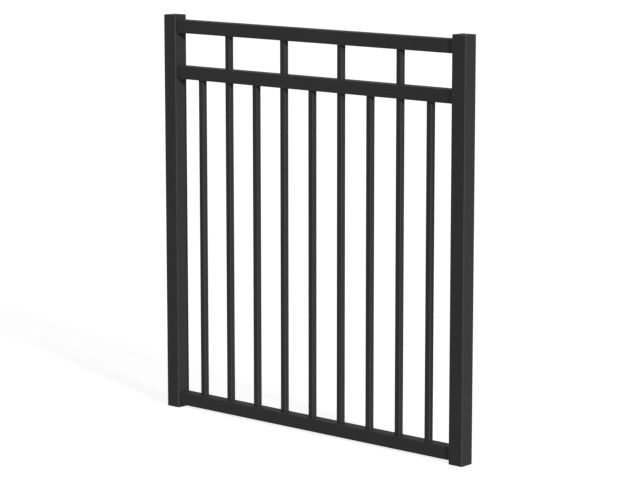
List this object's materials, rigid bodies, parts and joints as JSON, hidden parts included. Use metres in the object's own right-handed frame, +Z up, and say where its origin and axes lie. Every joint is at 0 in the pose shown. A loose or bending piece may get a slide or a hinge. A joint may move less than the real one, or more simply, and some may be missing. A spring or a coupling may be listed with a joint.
{
  "type": "pedestrian gate",
  "caption": "Flat-topped pedestrian gate leaf of black tube: capped stiles joined by top, middle and bottom rails, with upright pickets, every other one running on to the top rail.",
  "frame": {"origin": "middle of the left stile's flat outer face, on the gate's middle plane: the side that the hinges are fixed to", "axes": "+X along the gate to the other stile, -Y to the front, +Z up"},
  "size_m": [1.2192, 0.0508, 1.279],
  "materials": {
    "black_powder_coat": "satin"
  },
  "bodies": {
    "root": {"left_stile": "black_powder_coat", "right_stile": "black_powder_coat", "left_top_cap": "black_powder_coat", "left_bottom_cap": "black_powder_coat", "right_top_cap": "black_powder_coat", "right_bottom_cap": "black_powder_coat", "top_rail": "black_powder_coat", "middle_rail": "black_powder_coat", "bottom_rail": "black_powder_coat", "picket_1": "black_powder_coat", "picket_2": "black_powder_coat", "picket_3": "black_powder_coat", "picket_4": "black_powder_coat", "picket_5": "black_powder_coat", "picket_6": "black_powder_coat", "picket_7": "black_powder_coat", "picket_8": "black_powder_coat", "picket_9": "black_powder_coat"}
  },
  "joints": []
}
